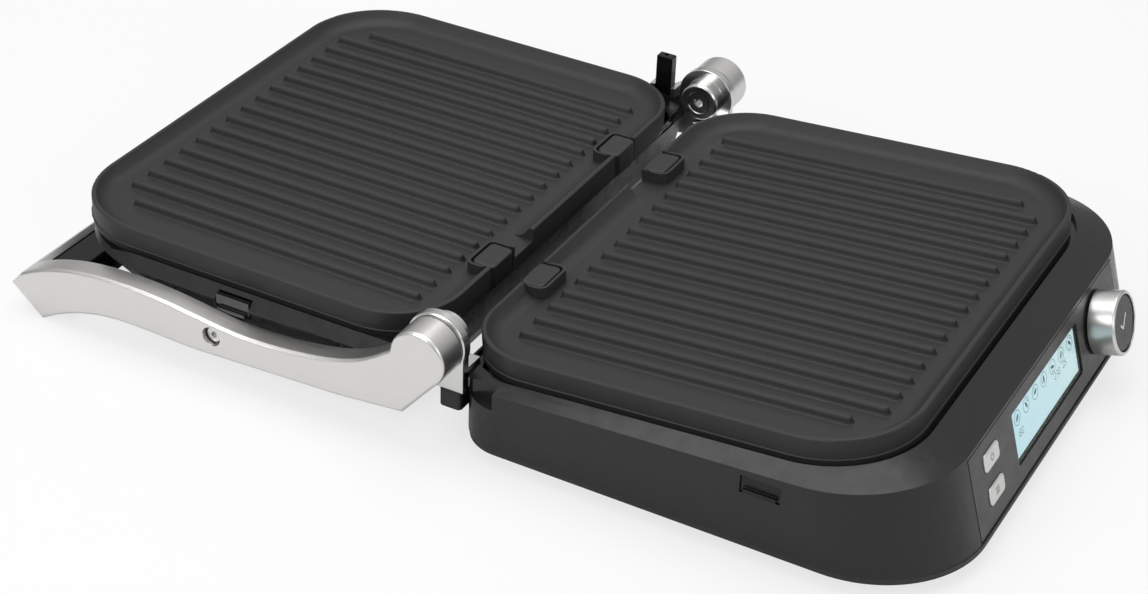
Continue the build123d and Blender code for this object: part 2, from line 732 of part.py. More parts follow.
def pivot_screw():
    """Hex-socket shoulder screw, recessed in the arm, on which the lid rocks."""
    head_out = arm_outer_x - 2.6
    head_in = arm_outer_x - pivot_pocket_depth
    body = rod(pivot_head_radius, head_in, head_out, pivot_y, pivot_z)
    body = chamfer(body.edges().group_by(Axis.X)[-1], 0.5)
    body += rod(pivot_radius, lid_half_width - 11, head_in + 0.5, pivot_y, pivot_z)
    return body - Pos(head_out - 2.5, pivot_y, pivot_z) * Rot(0, 90, 0) * extrude(
        RegularPolygon(2.0, 6), 4)


def handle_span(profile):
    face = Plane(origin=(-arm_inner_x, 0, 0), x_dir=(0, 1, 0), z_dir=(1, 0, 0)) * profile
    return extrude(face, 2 * arm_inner_x)


def handle_corner():
    """Inner corner of the handle's metal angle, one wall in from the tip."""
    return arm_tip[0] - grip_wall * 1.25, arm_tip[1] + grip_wall * 0.1


def handle_bar():
    """Metal angle between the arm ends: outer face and the narrow top band."""
    inner = handle_corner()
    return handle_span(make_face(Polyline(
        arm_heel, arm_tip, arm_top[0], (arm_top[0][0] - grip_wall * 0.8, arm_top[0][1] - 2.6),
        inner, (arm_heel[0] - grip_wall * 0.62, arm_heel[1] + grip_wall * 0.75), close=True)))


def handle_grip():
    """Black inner trim that fills the metal angle and reaches in under the lid."""
    inner = handle_corner()
    return handle_span(make_face(Polyline(
        (arm_heel[0] - grip_wall * 0.62, arm_heel[1] + grip_wall * 0.75), inner,
        (arm_top[0][0] - grip_wall * 0.8, arm_top[0][1] - 2.6), (lid_waist_y + 4, 20.5),
        (lid_waist_y - 1, 14.5), (lid_waist_y - 1, 9.0), close=True)))


def lid_level(z, inset=0.0):
    """Lid outline at a height: it tapers towards its outer face, most of all at the far edge."""
    draw = lid_taper * max(lid_ridge_z - z, 0) / (lid_ridge_z - lid_top_z)
    if z < lid_waist_z:
        share = (z - lid_top_z) / (lid_waist_z - lid_top_z)
        far = lid_far_low_y + share * (lid_waist_y - lid_far_low_y)
    else:
        share = (z - lid_waist_z) / (lid_ridge_z - lid_waist_z)
        far = lid_waist_y + share * (lid_far_y - lid_waist_y)
    return Pos(0, 0, z), outline(lid_half_width - draw - inset, far - inset,
                                 lid_back_y + draw / 2 + inset, lid_far_radius - inset,
                                 lid_back_radius - inset)


def lid_opening():
    return lid_plate_place * prism(plate_outline(plate_gap), -flange_drop, 20)


split_z = lid_top_z + lid_cover_depth
lid_crown_z = hinge_z - lid_rib_drop - crown_drop
lid_seat_z = hinge_z - lid_rib_drop - flange_drop


lid_rim = 2.0
lid_crown_far = lid_far_y - 1


def lid_crown(back_inset, far_inset):
    return outline(opening_half, lid_crown_far - far_inset, lid_back_y + back_inset,
                   lid_far_radius - 7, lid_back_radius - 3)


def lid_housing():
    outer = skin([lid_level(split_z), lid_level(lid_waist_z), lid_level(lid_ridge_z),
                  (Pos(0, 0, lid_crown_z), lid_crown(2, 0))])
    cavity = skin([lid_level(split_z - 1, wall), lid_level(lid_waist_z + 1, wall),
                   lid_level(lid_ridge_z - 2, wall), (Pos(0, 0, lid_seat_z), lid_crown(3.5, 4))])
    body = outer - cavity
    for side in (-1, 1):
        low, high = sorted((side * (lid_half_width - 13.5), side * (lid_half_width - 1.5)))
        body += rod(7.5, low, high, pivot_y, pivot_z) & outer
        low, high = sorted((side * (lid_half_width - 3.5), side * (arm_inner_x - lid_side_gap)))
        body += rod(5.0, low, high, pivot_y, pivot_z)
        low, high = sorted((side * (lid_half_width - 15.5), side * (lid_half_width + 4.5)))
        body -= rod(pivot_radius + running_gap, low, high, pivot_y, pivot_z)
    for x in (-70, 70):
        body += block((x - 12, lid_back_y, lid_seat_z - 8), (x + 12, lid_back_y + 6, lid_seat_z)) & outer
    body -= lid_plate_place * prism(lid_flange(flange_gap), -flange_drop - tray_sheet, -flange_drop)
    body -= lid_opening()
    body -= latch_window(-lid_half_width, lid_latch_y, lid_latch_z, wall)
    for x, y in lid_bosses:
        body += (Pos(x, y, split_z) * Cylinder(boss_radius, lid_boss_height, align=(
            Align.CENTER, Align.CENTER, Align.MIN))) & outer
        body -= lid_screw(x, y, 0.05)
    return body


split_half = lid_half_width - lid_taper * (lid_ridge_z - split_z) / (lid_ridge_z - lid_top_z)
lid_bosses = [(side * (split_half - wall - boss_radius + 0.8), y)
              for side in (-1, 1) for y in (pivot_y - 59.4, pivot_y + 18.6)]


def lid_cover():
    """Shallow cover that is the top of the closed grill."""
    outer = skin([lid_level(lid_top_z), lid_level(split_z)])
    outer = fillet(outer.edges().group_by(Axis.Z)[0], 3.0)
    body = outer - skin([lid_level(lid_top_z + wall, wall + 1.5), lid_level(split_z + 1, wall)])
    for x, y in lid_bosses:
        align = (Align.CENTER, Align.CENTER, Align.MIN)
        body += (Pos(x, y, lid_top_z + 1) * Cylinder(boss_radius, lid_cover_depth - 1,
                                                     align=align)) & outer
        body -= lid_screw(x, y, 0.05)
    return body


def lid_screw(x, y, play=0.0):
    """Screw from inside the lid down into the cover."""
    align = (Align.CENTER, Align.CENTER, Align.MIN)
    low = lid_top_z + wall + 0.5
    top = split_z + lid_boss_height
    head = Pos(x, y, top) * Cylinder(screw_head_radius, 2.4, align=align)
    shank = Pos(x, y, low - play) * Cylinder(screw_radius + play, top + 0.1 + play - low, align=align)
    return shank if play else head + shank


def drip_span():
    back = base_back_y + 0.4
    return back, back + drip_depth


def drip_tray():
    """Long narrow trough under both grease spouts, with a finger end at the left."""
    low_y, high_y = drip_span()
    body = block((drip_near_x, low_y, drip_low_z), (drip_far_x, high_y, drip_high_z))
    body -= block((drip_near_x + 8, low_y + drip_wall, drip_low_z + drip_wall),
                  (drip_far_x - drip_wall, high_y - drip_wall, drip_high_z + 1))
    edges = body.edges().filter_by(Axis.Z).group_by(Axis.X)[0]
    return fillet(edges, 2.5)


def drip_rail():
    """Ledge along the housing's rear wall that carries the drip tray, with an end stop."""
    low_y, high_y = drip_span()
    start, end = -126.0, drip_far_x + 4
    top = drip_low_z - rail_gap
    body = block((start, base_back_y - 1, top - rail_thickness), (end, high_y + 2.3, top))
    body += block((start, high_y + 0.3, top - rail_thickness), (end, high_y + 2.3, top + 3.5))
    return body + block((drip_far_x + 0.5, base_back_y - 1, top), (end, high_y + 2.3, drip_high_z - 4))


def cord_gland():
    """Empty cord bushing in the rear wall."""
    body = Pos(gland_x, base_back_y + 1.5, gland_z) * Rot(90, 0, 0) * Cylinder(gland_radius + 3, 3)
    body += Pos(gland_x, base_back_y - 2, gland_z) * Rot(90, 0, 0) * Cylinder(gland_radius, 8)
    return body - Pos(gland_x, base_back_y, gland_z) * Rot(90, 0, 0) * Cylinder(3.6, 30)


def flange(back, front, half, front_radius, grow):
    return outline(half + grow, back + grow, front - grow, plate_back_radius - 8 + grow,
                   front_radius + grow)


def base_flange(grow=0.0):
    """Outline of the lower tray's flange, just inside the housing's lip."""
    return flange(plate_half_length + base_rib_start + base_back_y - wall - flange_gap,
                  plate_front_y - plate_gap - 3 + flange_gap, opening_half + 3 - flange_gap,
                  plate_front_radius, grow)


def lid_flange(grow=0.0):
    middle = lid_rib_start + plate_half_length
    return flange(middle - (lid_back_y + wall + flange_gap),
                  middle - (lid_crown_far - lid_rim - flange_gap),
                  opening_half + lid_rim - flange_gap, lid_far_radius - 5, grow)


parts = {
    "base_housing": base_housing(),
    "base_bottom_cover": bottom_cover(),
    "base_cover_screws": [cover_screw(x, y) for x, y in cover_bosses],
    "rubber_feet": [foot(x, y) for x, y in foot_places],
    "control_panel": control_panel(),
    "display_window": display_window(),
    "display_module": display_module(),
    "control_board": control_board(),
    "encoder_body": encoder_body(),
    "encoder_shaft": encoder_shaft(),
    "selector_knob": selector_knob(),
    "ok_button": ok_button(),
    "power_button": panel_button("power"),
    "mode_button": panel_button("mode"),
    "lower_grill_plate": base_plate_place * grill_plate(),
    "lower_reflector_tray": base_plate_place * reflector_tray(base_flange()),
    "lower_heating_element": base_plate_place * heating_element(),
    "lower_heater_clips": [base_plate_place * c for c in heater_clips()],
    "lower_thermostat": base_plate_place * thermostat(),
    "lower_plate_hooks": [base_plate_place * plate_hook(s) for s in (-1, 1)],
    "lower_plate_latch": latch(-base_half_width, base_latch_y, base_latch_z),
    "hinge_bracket_right": hinge_bracket(),
    "hinge_bracket_left": mirrored(hinge_bracket()),
    "bracket_screws": [bracket_screw(s) for s in (-1, 1)],
    "hinge_bolt_right": hinge_bolt(),
    "hinge_bolt_left": mirrored(hinge_bolt()),
    "arm_right": arm(1),
    "arm_left": arm(-1),
    "handle_bar": handle_bar(),
    "handle_grip": handle_grip(),
    "pivot_screw_right": pivot_screw(),
    "pivot_screw_left": mirrored(pivot_screw()),
    "hinge_plunger": hinge_plunger(),
    "lid_housing": lid_housing(),
    "lid_cover": lid_cover(),
    "lid_cover_screws": [lid_screw(x, y) for x, y in lid_bosses],
    "upper_grill_plate": lid_plate_place * grill_plate(),
    "upper_reflector_tray": lid_plate_place * reflector_tray(lid_flange()),
    "upper_heating_element": lid_plate_place * heating_element(),
    "upper_heater_clips": [lid_plate_place * c for c in heater_clips()],
    "upper_thermostat": lid_plate_place * thermostat(),
    "upper_plate_hooks": [lid_plate_place * plate_hook(s) for s in (-1, 1)],
    "upper_plate_latch": latch(-lid_half_width, lid_latch_y, lid_latch_z),
    "drip_tray": drip_tray(),
    "cord_gland": cord_gland(),
}

# The frame's origin lies on the table under the middle of the opened grill.
knob_front_y = (panel_place * Pos(0, knob_up - knob_radius, knob_length)).position.Y
centred = Pos(0, -(knob_front_y + arm_tip[0]) / 2, 0)

os.makedirs("parts", exist_ok=True)
for name, shape in parts.items():
    solids = []
    for piece in (shape if isinstance(shape, list) else [shape]):
        solids += [centred * solid for solid in piece.solids()]
    export_step(solids[0] if len(solids) == 1 else Compound(children=solids), f"parts/{name}.step")
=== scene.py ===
import json
import math

import bmesh
import bpy
from mathutils import Matrix, Vector


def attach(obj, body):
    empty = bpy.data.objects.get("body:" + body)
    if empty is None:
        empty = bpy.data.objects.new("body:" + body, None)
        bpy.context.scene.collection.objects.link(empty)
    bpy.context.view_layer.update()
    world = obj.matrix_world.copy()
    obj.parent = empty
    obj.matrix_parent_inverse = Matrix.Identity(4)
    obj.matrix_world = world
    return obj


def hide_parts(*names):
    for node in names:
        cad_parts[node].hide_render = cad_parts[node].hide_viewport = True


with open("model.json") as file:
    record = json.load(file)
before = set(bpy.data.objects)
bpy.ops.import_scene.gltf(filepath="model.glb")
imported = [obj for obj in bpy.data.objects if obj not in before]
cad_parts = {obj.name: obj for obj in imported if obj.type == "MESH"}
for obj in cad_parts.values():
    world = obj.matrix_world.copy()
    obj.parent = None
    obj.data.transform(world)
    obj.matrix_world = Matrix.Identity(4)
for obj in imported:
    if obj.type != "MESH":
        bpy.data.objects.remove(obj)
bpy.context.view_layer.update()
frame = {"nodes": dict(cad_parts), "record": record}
nodes = frame["nodes"]
body_of_node = {node: body for body, members in frame["record"]["behaviour"]["bodies"].items()
                for node in members}
joints = {joint["name"]: joint for joint in frame["record"]["behaviour"]["joints"]}
MM = 0.001
hinge = Vector(joints["lid_hinge"]["pos_m"])


# Nodes of materials and of Geometry Nodes

def feed(tree, node, inputs):
    """Links or sets inputs of a node: each value is another node's output or a constant."""
    for name, value in inputs.items():
        if isinstance(value, bpy.types.NodeSocket):
            tree.links.new(value, node.inputs[name])
        else:
            node.inputs[name].default_value = value


def add_node(tree, kind, inputs, **settings):
    """New node. Its settings come first, because they decide which inputs it has."""
    node = tree.nodes.new(kind)
    for name, value in settings.items():
        setattr(node, name, value)
    feed(tree, node, inputs)
    return node


def number(tree, operation, first, second):
    return add_node(tree, "ShaderNodeMath", {0: first, 1: second}, operation=operation).outputs[0]


def vector(tree, **parts):
    """Vector with the given X, Y and Z. Those left out are 0."""
    return add_node(tree, "ShaderNodeCombineXYZ", parts).outputs[0]


def remap(tree, value, low, high, to_low, to_high):
    return add_node(tree, "ShaderNodeMapRange", {
        "Value": value, "From Min": low, "From Max": high, "To Min": to_low,
        "To Max": to_high}).outputs["Result"]


# Objects and meshes

def new_object(name, data):
    obj = bpy.data.objects.new(name, data)
    bpy.context.scene.collection.objects.link(obj)
    return obj


def give(obj, mat):
    obj.data.materials.clear()
    obj.data.materials.append(mat)


def to_mesh(name, shape):
    mesh = bpy.data.meshes.new(name)
    shape.to_mesh(mesh)
    shape.free()
    return mesh


def smooth(mesh, sharp):
    """Smooth shading, with edges that turn by more than so many degrees kept sharp."""
    for polygon in mesh.polygons:
        polygon.use_smooth = True
    mesh.set_sharp_from_angle(angle=math.radians(sharp))


def bake_modifiers(piece):
    """Puts what the modifiers make in the place of the object's mesh, and removes them."""
    baked = bpy.data.meshes.new_from_object(
        piece.evaluated_get(bpy.context.evaluated_depsgraph_get()))
    piece.modifiers.clear()
    piece.data = baked


# Materials

NOISE_LOW, NOISE_HIGH = 0.3, 0.7    # nearly all values of a noise texture lie between these


def new_material(name):
    mat = bpy.data.materials.new(name)
    mat.use_nodes = True
    return mat, mat.node_tree, mat.node_tree.nodes["Principled BSDF"]


def object_coords(tree, scale=(1, 1, 1)):
    coords = tree.nodes.new("ShaderNodeTexCoord").outputs["Object"]
    return add_node(tree, "ShaderNodeMapping", {"Vector": coords, "Scale": scale}).outputs["Vector"]


def noise(tree, coords, scale, detail=3.0, roughness=0.5):
    return add_node(tree, "ShaderNodeTexNoise", {
        "Vector": coords, "Scale": scale, "Detail": detail,
        "Roughness": roughness}).outputs["Fac"]


def spread(tree, noise_value, low, high):
    """Noise stretched over a range."""
    return remap(tree, noise_value, NOISE_LOW, NOISE_HIGH, low, high)


def cells(tree, coords, scale):
    """Distance to the middle of the nearest cell."""
    return add_node(tree, "ShaderNodeTexVoronoi", {
        "Vector": coords, "Scale": scale}).outputs["Distance"]


def blend(tree, factor, first, second):
    """Mix of two colours, each an output or red, green and blue."""
    first, second = (end if isinstance(end, bpy.types.NodeSocket) else (*end, 1)
                     for end in (first, second))
    return add_node(tree, "ShaderNodeMix", {"Factor": factor, "A": first, "B": second},
                    data_type="RGBA").outputs["Result"]


def join_bumps(tree, bsdf, layers):
    """Bump layers, each (height, strength, distance), one on top of the other."""
    normal = {}
    for height, strength, distance in layers:
        bump = add_node(tree, "ShaderNodeBump", {
            "Height": height, "Strength": strength, "Distance": distance, **normal})
        normal = {"Normal": bump.outputs["Normal"]}
    feed(tree, bsdf, normal)


def moulded_plastic(name, colour, gloss, grain, paler=1.35, shine=0.5):
    """Moulded plastic: fine spark-eroded grain and slight cloudiness."""
    mat, tree, bsdf = new_material(name)
    coords = object_coords(tree)
    cloud = noise(tree, coords, 18, 4)
    feed(tree, bsdf, {
        "Base Color": blend(tree, cloud, colour, [c * paler for c in colour]),
        "Roughness": spread(tree, noise(tree, coords, 130), gloss - 0.05, gloss + 0.07),
        "Specular IOR Level": shine})
    join_bumps(tree, bsdf, [(noise(tree, coords, 2600, 2), grain, 0.12 * MM)])
    return mat


def satin_metal(name, colour, rough, grain, stretch=(1, 1, 1), scale=900):
    """Metal with a fine directional or blasted grain."""
    mat, tree, bsdf = new_material(name)
    streak = noise(tree, object_coords(tree, stretch), scale)
    cloud = noise(tree, object_coords(tree), 30)
    feed(tree, bsdf, {
        "Base Color": blend(tree, cloud, [c * 0.95 for c in colour], colour),
        "Metallic": 1.0,
        "Roughness": spread(tree, streak, rough - 0.02, rough + 0.03)})
    join_bumps(tree, bsdf, [(streak, grain, 0.1 * MM)])
    return mat


def non_stick_coating():
    """Sprayed non-stick coating: charcoal with fine pale flecks and a pebbled surface."""
    mat, tree, bsdf = new_material("non_stick_coating")
    coords = object_coords(tree)
    cloud = spread(tree, noise(tree, coords, 9), 0.0, 1.0)
    patch = noise(tree, coords, 800, roughness=0.6)
    fleck = remap(tree, cells(tree, coords, 1900), 0.06, 0.22, 0.5, 0.0)
    charcoal = blend(tree, cloud, (0.0135, 0.0135, 0.0145), (0.0165, 0.0165, 0.0175))
    patched = blend(tree, patch, charcoal, (0.030, 0.030, 0.032))
    feed(tree, bsdf, {
        "Base Color": blend(tree, fleck, patched, (0.075, 0.075, 0.08)),
        "Roughness": spread(tree, patch, 0.44, 0.60),
        "Specular IOR Level": 0.4})
    join_bumps(tree, bsdf, [(noise(tree, coords, 260, 2), 0.10, 0.4 * MM),
                            (noise(tree, coords, 1300, roughness=0.65), 0.4, 0.16 * MM)])
    return mat


def lit_display():
    """Backlit panel: pale cyan, bluer towards its left."""
    mat, tree, bsdf = new_material("lit_display")
    coords = object_coords(tree)
    place = add_node(tree, "ShaderNodeSeparateXYZ", {"Vector": coords})
    bluer = remap(tree, place.outputs["X"], -50 * MM, 30 * MM, 0.6, 0.0)
    glow = noise(tree, coords, 22)
    even = blend(tree, glow, (0.50, 0.72, 0.75), (0.57, 0.77, 0.79))
    feed(tree, bsdf, {
        "Base Color": blend(tree, glow, (0.05, 0.08, 0.085), (0.07, 0.10, 0.105)),
        "Emission Color": blend(tree, bluer, even, (0.38, 0.66, 0.78)),
        "Emission Strength": 0.85,
        "Roughness": spread(tree, noise(tree, coords, 90, 2), 0.4, 0.5)})
    return mat


def clear_window():
    """Thin clear window with a faint smear."""
    mat, tree, bsdf = new_material("clear_window")
    coords = object_coords(tree)
    feed(tree, bsdf, {
        "Base Color": blend(tree, noise(tree, coords, 40, 2), (0.93, 0.97, 0.98),
                            (0.98, 1.0, 1.0)),
        "IOR": 1.2,
        "Roughness": spread(tree, noise(tree, coords, 60), 0.02, 0.07),
        "Transmission Weight": 1.0})
    return mat


def circuit_board():
    """Green solder mask, darker where no copper lies below it."""
    mat, tree, bsdf = new_material("circuit_board")
    coords = object_coords(tree)
    bare = remap(tree, cells(tree, coords, 260), 0.2, 0.24, 0.0, 1.0)
    feed(tree, bsdf, {
        "Base Color": blend(tree, bare, (0.02, 0.14, 0.06), (0.01, 0.07, 0.03)),
        "Roughness": spread(tree, noise(tree, coords, 80, 2), 0.3, 0.45)})
    return mat


def soft_rubber():
    """Matt black rubber."""
    mat, tree, bsdf = new_material("soft_rubber")
    coords = object_coords(tree)
    feed(tree, bsdf, {
        "Base Color": blend(tree, noise(tree, coords, 120, 4), (0.012, 0.012, 0.012),
                            (0.028, 0.028, 0.028)),
        "Roughness": spread(tree, noise(tree, coords, 300), 0.7, 0.85)})
    join_bumps(tree, bsdf, [(noise(tree, coords, 1500, 2), 0.3, 0.1 * MM)])
    return mat


coating = non_stick_coating()
display_light = lit_display()
window_clear = clear_window()
board_green = circuit_board()
foot_rubber = soft_rubber()

housing_black = moulded_plastic("housing_black", (0.0045, 0.0045, 0.0046),
                                gloss=0.25, grain=0.03, shine=0.42)
cover_black = moulded_plastic("cover_black", (0.008, 0.008, 0.0085), gloss=0.5, grain=0.3)
trim_black = moulded_plastic("trim_black", (0.004, 0.004, 0.0042),
                             gloss=0.26, grain=0.03, shine=0.3)
fascia_grey = moulded_plastic("fascia_grey", (0.014, 0.013, 0.0125),
                              gloss=0.3, grain=0.04, shine=0.42)
hook_enamel = moulded_plastic("hook_enamel", (0.014, 0.014, 0.015), gloss=0.42, grain=0.2)
tray_enamel = moulded_plastic("tray_enamel", (0.006, 0.006, 0.0065), gloss=0.16, grain=0.03)
piano_black = moulded_plastic("piano_black", (0.006, 0.006, 0.007), gloss=0.12, grain=0.02)
ink_dark = moulded_plastic("ink_dark", (0.012, 0.03, 0.045), gloss=0.5, grain=0.02)
ink_grey = moulded_plastic("ink_grey", (0.02, 0.02, 0.02), gloss=0.45, grain=0.02)
ink_faint = moulded_plastic("ink_faint", (0.07, 0.15, 0.18), gloss=0.5, grain=0.02)
ink_pale = moulded_plastic("ink_pale", (0.7, 0.7, 0.7), gloss=0.45, grain=0.02, paler=1.05)

cap_silver = satin_metal("cap_silver", (0.72, 0.715, 0.70), rough=0.38, grain=0.01, scale=1400)
arm_silver = satin_metal("arm_silver", (0.70, 0.69, 0.675), rough=0.31, grain=0.012,
                         stretch=(1, 0.12, 1), scale=1100)
polished_steel = satin_metal("polished_steel", (0.66, 0.655, 0.65), rough=0.2, grain=0.004,
                             scale=160)
knob_steel = satin_metal("knob_steel", (0.68, 0.675, 0.665), rough=0.3, grain=0.004, scale=160)
clip_sheet = satin_metal("clip_sheet", (0.60, 0.60, 0.61), rough=0.3, grain=0.08,
                         stretch=(1, 0.1, 1), scale=500)
edge_steel = satin_metal("edge_steel", (0.60, 0.59, 0.57), rough=0.25, grain=0.01,
                         stretch=(0.1, 1, 1))
lid_steel = satin_metal("lid_steel", (0.50, 0.50, 0.51), rough=0.33, grain=0.15,
                        stretch=(0.08, 1, 1))
heater_tube = satin_metal("heater_tube", (0.17, 0.15, 0.14), rough=0.45, grain=0.2, scale=400)

finishes = {node: mat for mat, members in (
    (coating, ("lower_grill_plate", "upper_grill_plate")),
    (housing_black, ("base_housing", "lid_housing")),
    (cover_black, ("base_bottom_cover", "cord_gland", "drip_tray")),
    (lid_steel, ("lid_cover",)),
    (arm_silver, ("arm_left", "arm_right", "handle_bar")),
    (polished_steel, ("hinge_bracket_left", "hinge_bracket_right", "hinge_bolt_left",
                      "hinge_bolt_right", "pivot_screw_left", "pivot_screw_right",
                      "base_cover_screws", "bracket_screws", "lid_cover_screws",
                      "lower_thermostat", "upper_thermostat", "encoder_shaft")),
    (trim_black, ("handle_grip", "hinge_plunger", "lower_plate_latch", "ok_button")),
    (piano_black, ("upper_plate_latch",)),
    (hook_enamel, ("lower_plate_hooks", "upper_plate_hooks")),
    (tray_enamel, ("lower_reflector_tray", "upper_reflector_tray")),
    (heater_tube, ("lower_heating_element", "upper_heating_element")),
    (clip_sheet, ("lower_heater_clips", "upper_heater_clips")),
    (fascia_grey, ("control_panel",)),
    (window_clear, ("display_window",)),
    (display_light, ("display_module",)),
    (board_green, ("control_board", "encoder_body")),
    (knob_steel, ("selector_knob",)),
    (cap_silver, ("power_button", "mode_button")),
    (foot_rubber, ("rubber_feet",)),
) for node in members}

for node, mat in finishes.items():
    give(nodes[node], mat)


# Rounded copies of moulded and cast pieces

WELD_DISTANCE = 0.01 * MM
FLAT_ANGLE, ROUNDED_ANGLE, ROUNDED_SHARP = 1.0, 28.0, 38.0    # degrees
ROUNDED_SEGMENTS = 2


def rounded_copy(node, radius):
    """Copy of a CAD node with its edges rounded, which then stands for the node."""
    mesh = nodes[node].data.copy()
    work = bmesh.new()
    work.from_mesh(mesh)
    bmesh.ops.remove_doubles(work, verts=work.verts, dist=WELD_DISTANCE)
    bmesh.ops.dissolve_limit(work, angle_limit=math.radians(FLAT_ANGLE), verts=work.verts,
                             edges=work.edges)
    work.to_mesh(mesh)
    work.free()
    smooth(mesh, ROUNDED_SHARP)
    piece = new_object(node + "_rounded", mesh)
    bevel = piece.modifiers.new("rounding", "BEVEL")
    bevel.width = radius
    bevel.segments = ROUNDED_SEGMENTS
    bevel.limit_method = "ANGLE"
    bevel.angle_limit = math.radians(ROUNDED_ANGLE)
    evened = piece.modifiers.new("evened", "WEIGHTED_NORMAL")
    evened.keep_sharp = True
    bake_modifiers(piece)
    give(piece, finishes[node])
    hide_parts(node)
    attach(piece, body_of_node[node])


radii_mm = {
    "lower_grill_plate": 0.8, "upper_grill_plate": 0.8, "base_housing": 0.4, "lid_housing": 0.4,
    "control_panel": 0.3, "arm_left": 0.5, "arm_right": 0.5, "handle_bar": 0.6,
    "handle_grip": 1.0, "hinge_bracket_left": 0.3, "hinge_bracket_right": 0.3,
    "lower_plate_hooks": 0.8, "upper_plate_hooks": 0.8, "selector_knob": 0.3, "ok_button": 0.3,
    "power_button": 0.4, "mode_button": 0.4, "lower_plate_latch": 0.4, "upper_plate_latch": 0.4,
    "hinge_plunger": 0.5, "drip_tray": 0.5, "lid_cover": 0.5,
}
for node, radius in radii_mm.items():
    rounded_copy(node, radius * MM)


# Frames of the panel and of the two plates, in which their details are drawn

ACROSS = Vector((1, 0, 0))
KNOB_X, KNOB_UP, KNOB_LENGTH = 72.5 * MM, 28.3 * MM, 15.3 * MM
PLATE_TILT = math.radians(4.5)
RIB_LENGTH = 190.0 * MM
LOWER_RIBS_FROM, LOWER_RIBS_UP = 25.8 * MM, -5.6 * MM    # from the hinge axis, along the plate
UPPER_RIBS_FROM, UPPER_RIBS_UP = 31.0 * MM, -2.5 * MM

panel_normal = Vector(joints["knob_turn"]["axis"]).normalized()
panel_up = panel_normal.cross(ACROSS)
panel = Matrix((ACROSS, panel_up, panel_normal)).transposed().to_4x4()
panel.translation = Vector(joints["knob_turn"]["pos_m"]) - ACROSS * KNOB_X - panel_up * KNOB_UP
lower_plate = (Matrix.Translation(hinge) @ Matrix.Rotation(-PLATE_TILT, 4, "X")
               @ Matrix.Translation((0, -(LOWER_RIBS_FROM + RIB_LENGTH / 2), LOWER_RIBS_UP)))
upper_plate = (Matrix.Translation(hinge + Vector((0, UPPER_RIBS_FROM + RIB_LENGTH / 2,
                                                  UPPER_RIBS_UP)))
               @ Matrix.Rotation(math.pi, 4, "Z"))


# Shapes drawn vertex by vertex

def skin(shape, loops, closed=False, open_start=False):
    """Faces between neighbouring loops of points, with caps unless the row is closed."""
    for here, after in zip(loops, loops[1:] + loops[:1] if closed else loops[1:]):
        for i in range(len(here)):
            j = (i + 1) % len(here)
            shape.faces.new((here[i], here[j], after[j], after[i]))
    if not closed:
        shape.faces.new(loops[-1])
    if not closed and not open_start:
        shape.faces.new(loops[0][::-1])


def flat_plate(shape, points, levels):
    """Plate of any outline between two levels."""
    skin(shape, [[shape.verts.new((x, y, z)) for x, y in points] for z in levels])


def bar(shape, corners, levels):
    x0, y0, x1, y1 = corners
    flat_plate(shape, [(x0, y0), (x1, y0), (x1, y1), (x0, y1)], levels)


def flat_ring(shape, centre, outer, inner, levels, begin=0, sweep=360, steps=28):
    """Ring or open arc between two levels, with its angles in degrees."""
    closed = sweep >= 360
    x, y = centre
    low, high = levels
    loops = []
    for i in range(steps if closed else steps + 1):
        angle = math.radians(begin + sweep * i / steps)
        loops.append([shape.verts.new((x + radius * math.cos(angle),
                                       y + radius * math.sin(angle), z))
                      for radius, z in ((outer, low), (outer, high), (inner, high), (inner, low))])
    skin(shape, loops[::-1], closed)


def in_mm(points):
    return [(x * MM, y * MM) for x, y in points]


# Pieces, from a drawn shape or grown from a seed by Geometry Nodes

WHOLE, REAL = "NodeSocketInt", "NodeSocketFloat"
SHARP_MARK, SHARP_CAST = 35, 50    # degrees


def settle(piece, mat, body, place, sharp):
    """Moves the mesh to its place, smooths it and lets it ride on its body."""
    piece.data.transform(place)
    smooth(piece.data, sharp)
    give(piece, mat)
    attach(piece, body)
    return piece


def mesh_piece(name, shape, mat, body, place):
    bmesh.ops.recalc_face_normals(shape, faces=shape.faces)
    return settle(new_object(name, to_mesh(name, shape)), mat, body, place, SHARP_MARK)


def grown(name, seed, tree, values, mat, body, place, sharp=SHARP_MARK):
    """Runs a tree on a seed mesh, keeps the result as a plain mesh and sets it in place."""
    piece = new_object(name, seed)
    modifier = piece.modifiers.new(name, "NODES")
    modifier.node_group = tree
    for item in tree.interface.items_tree:
        if item.in_out == "INPUT" and item.name in values:
            modifier[item.identifier] = values[item.name]
    bake_modifiers(piece)
    return settle(piece, mat, body, place, sharp)


def new_tree(name, inputs):
    """Node group that takes and gives geometry, with named number inputs."""
    tree = bpy.data.node_groups.new(name, "GeometryNodeTree")
    tree.interface.new_socket("Geometry", in_out="INPUT", socket_type="NodeSocketGeometry")
    for label, kind in inputs.items():
        tree.interface.new_socket(label, in_out="INPUT", socket_type=kind)
    tree.interface.new_socket("Geometry", in_out="OUTPUT", socket_type="NodeSocketGeometry")
    return tree, tree.nodes.new("NodeGroupInput").outputs


def point_row(tree, **inputs):
    return add_node(tree, "GeometryNodeMeshLine", inputs, mode="OFFSET").outputs["Mesh"]


def point_index(tree):
    return tree.nodes.new("GeometryNodeInputIndex").outputs[0]


def on_points(tree, points, seed, **inputs):
    return add_node(tree, "GeometryNodeInstanceOnPoints", {
        "Points": points, "Instance": seed, **inputs}).outputs["Instances"]


def finish_tree(tree, geometry, mat):
    realize = add_node(tree, "GeometryNodeRealizeInstances", {"Geometry": geometry})
    coat = add_node(tree, "GeometryNodeSetMaterial", {
        "Geometry": realize.outputs["Geometry"], "Material": mat})
    add_node(tree, "NodeGroupOutput", {"Geometry": coat.outputs["Geometry"]})
    return tree


# Cast ribs of the grill plates

